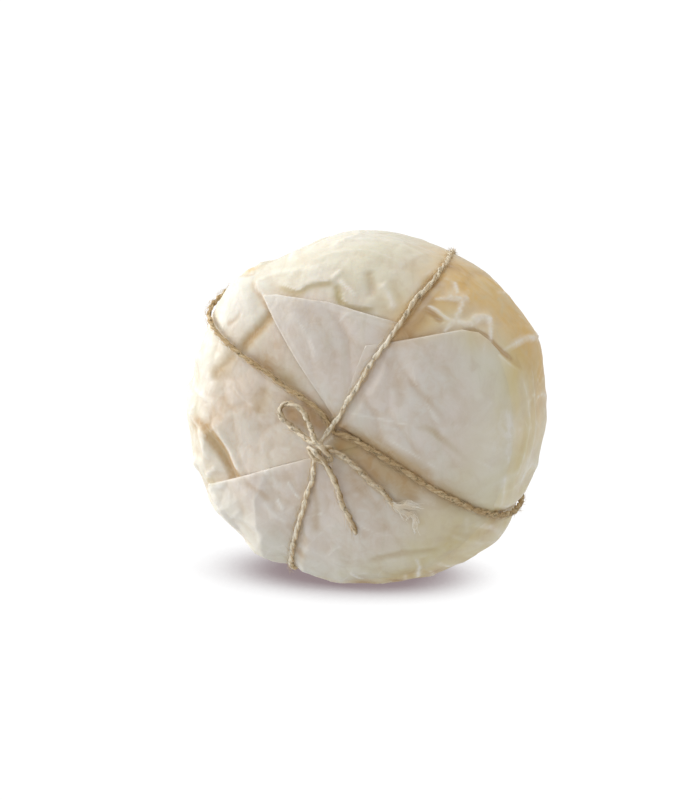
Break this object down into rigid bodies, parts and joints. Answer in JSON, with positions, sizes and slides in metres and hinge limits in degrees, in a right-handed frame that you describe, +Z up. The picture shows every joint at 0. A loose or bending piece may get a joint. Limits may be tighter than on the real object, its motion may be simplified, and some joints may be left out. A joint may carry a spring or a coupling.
{
  "type": "paper-wrapped ball of cheese tied with twine",
  "caption": "Flattened ball of soft cheese in thin waxed paper, tied crosswise with twine that ends in a slip knot, standing on its rim.",
  "frame": {"origin": "middle of the small flat spot on the rim that the ball stands on", "axes": "+Z up; -Y out of the tied face; +X to the right of the tied face"},
  "size_m": [0.1051, 0.071, 0.1027],
  "materials": {
    "waxed_paper": "thin, slightly see-through waxed paper in folds, with paler creases and the warm cheese showing through",
    "jute_twine": "coarse two-ply jute, matt, with loose fibres"
  },
  "bodies": {
    "root": {"wrapped_cheese": "waxed_paper", "twine": "jute_twine"}
  },
  "joints": []
}
